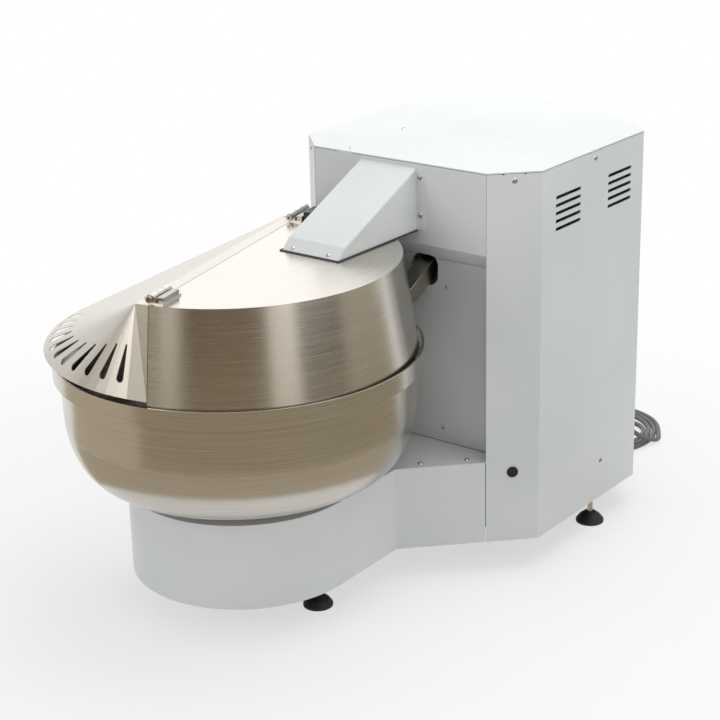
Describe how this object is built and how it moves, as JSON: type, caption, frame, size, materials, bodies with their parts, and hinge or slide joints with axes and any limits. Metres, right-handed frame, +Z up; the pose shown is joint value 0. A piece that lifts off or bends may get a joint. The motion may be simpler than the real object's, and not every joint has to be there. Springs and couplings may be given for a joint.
{
  "type": "fork dough mixer",
  "caption": "Floor-standing fork dough mixer: round bowl on a low plinth, slotted guard, boxed drive column and a tilted fork that turns with the bowl.",
  "frame": {"origin": "on the floor, under the middle of the machine's bounding box without its free cord", "axes": "+Z up, -Y towards the bowl's front, +X to the fork's side"},
  "size_m": [0.6779, 1.3586, 0.7023],
  "materials": {
    "panel_paint": "smooth light grey-white enamel, semi-gloss",
    "stainless": "brushed stainless sheet",
    "bowl_steel": "spun stainless with fine turning lines",
    "forged_steel": "satin-ground steel bar",
    "machined_steel": "turned steel",
    "frame_paint": "matt dark grey paint",
    "gearbox_iron": "grey-painted casting",
    "bronze": "gear bronze",
    "pulley_iron": "turned cast iron",
    "belt_rubber": "black belt rubber",
    "seal_rubber": "black nitrile rubber",
    "foot_rubber": "black moulded rubber",
    "zinc_steel": "zinc-plated steel",
    "cord_sheath": "dark grey cord sheath",
    "black_plastic": "black moulded plastic",
    "grey_plastic": "light grey moulded plastic",
    "green_plastic": "green push button",
    "red_plastic": "red push button",
    "motor_alloy": "grey-blue painted die casting",
    "pin_brass": "plain brass"
  },
  "bodies": {
    "machine": {"arm_base_plate": "frame_paint", "arm_cover": "panel_paint", "back_panel": "panel_paint", "base_frame": "frame_paint", "bowl_bearing_housing": "gearbox_iron", "bowl_bearings": "machined_steel", "bowl_belt": "belt_rubber", "bowl_cover": "stainless", "bowl_gearbox_case": "gearbox_iron", "bowl_seal": "seal_rubber", "button_bezels": "grey_plastic", "cable_gland": "black_plastic", "casing_screws": "zinc_steel", "column_frame": "frame_paint", "column_lid": "panel_paint", "column_side_left": "panel_paint", "column_side_right": "panel_paint", "contact_blocks": "grey_plastic", "control_box": "grey_plastic", "cord_coil": "cord_sheath", "cover_arm": "frame_paint", "deck_plate": "panel_paint", "foot_pads": "foot_rubber", "foot_studs": "zinc_steel", "fork_gearbox_case": "gearbox_iron", "gearbox_bearings": "machined_steel", "gearbox_stand": "frame_paint", "guard_switch": "black_plastic", "hinge_blocks": "black_plastic", "hinge_brackets": "stainless", "hinge_pins": "machined_steel", "hole_plug": "black_plastic", "lower_front_panel": "panel_paint", "mains_plug": "black_plastic", "motor_fan_cowl": "frame_paint", "motor_housing": "motor_alloy", "plinth_shell": "panel_paint", "plug_pins": "pin_brass", "power_cord": "cord_sheath", "support_plates": "frame_paint", "upper_front_panel": "panel_paint", "v_belts": "belt_rubber"},
    "fork": {"fork": "forged_steel", "fork_shaft": "machined_steel", "fork_bolts": "zinc_steel", "fork_worm_wheel": "bronze"},
    "fork_worm": {"fork_worm_shaft": "machined_steel", "fork_pulley": "pulley_iron"},
    "motor_rotor": {"motor_shaft": "machined_steel"},
    "bowl_worm": {"bowl_worm_shaft": "machined_steel"},
    "bowl_drive": {"bowl_output_gear": "bronze", "bowl_drive_pulley": "pulley_iron"},
    "bowl": {"bowl": "bowl_steel", "bowl_hub": "machined_steel", "bowl_screws": "zinc_steel", "bowl_pulley": "pulley_iron"},
    "guard": {"guard_panel": "stainless", "guard_knuckles": "stainless"},
    "start_button": {"start_button": "green_plastic"},
    "stop_button": {"stop_button": "red_plastic"}
  },
  "joints": [
    {"name": "fork_spin", "type": "hinge", "parent": "machine", "child": "fork", "pos_m": [0.125, 0.066, 0.507], "axis": [0, 0.8829, 0.4695], "continuous": true},
    {"name": "fork_worm_spin", "type": "hinge", "parent": "machine", "child": "fork_worm", "pos_m": [0.125, 0.23412, 0.51032], "axis": [1, 0, 0], "continuous": true},
    {"name": "motor_spin", "type": "hinge", "parent": "machine", "child": "motor_rotor", "pos_m": [-0.008, 0.4055, 0.186], "axis": [1, 0, 0], "continuous": true},
    {"name": "bowl_worm_spin", "type": "hinge", "parent": "machine", "child": "bowl_worm", "pos_m": [0.032, 0.1925, 0.183], "axis": [1, 0, 0], "continuous": true},
    {"name": "bowl_drive_spin", "type": "hinge", "parent": "machine", "child": "bowl_drive", "pos_m": [0.097, 0.1385, 0.115], "axis": [0, 0, 1], "continuous": true},
    {"name": "bowl_spin", "type": "hinge", "parent": "machine", "child": "bowl", "pos_m": [-0.028, -0.2395, 0.202], "axis": [0, 0, 1], "continuous": true},
    {"name": "guard_hinge", "type": "hinge", "parent": "machine", "child": "guard", "pos_m": [-0.028, -0.2395, 0.593], "axis": [-0.2284, 0.9736, 0], "range_deg": [0, 115]},
    {"name": "start_press", "type": "slide", "parent": "machine", "child": "start_button", "axis": [1, 0, 0], "range_m": [0, 0.003], "stiffness_N_per_m": 600},
    {"name": "stop_press", "type": "slide", "parent": "machine", "child": "stop_button", "axis": [1, 0, 0], "range_m": [0, 0.003], "stiffness_N_per_m": 900}
  ],
  "couplings": [
    {"joint": "fork_worm_spin", "follows": "fork_spin", "ratio": 12},
    {"joint": "motor_spin", "follows": "fork_spin", "ratio": 27},
    {"joint": "bowl_worm_spin", "follows": "fork_spin", "ratio": 16},
    {"joint": "bowl_drive_spin", "follows": "fork_spin", "ratio": 0.53333},
    {"joint": "bowl_spin", "follows": "fork_spin", "ratio": 0.17778}
  ]
}
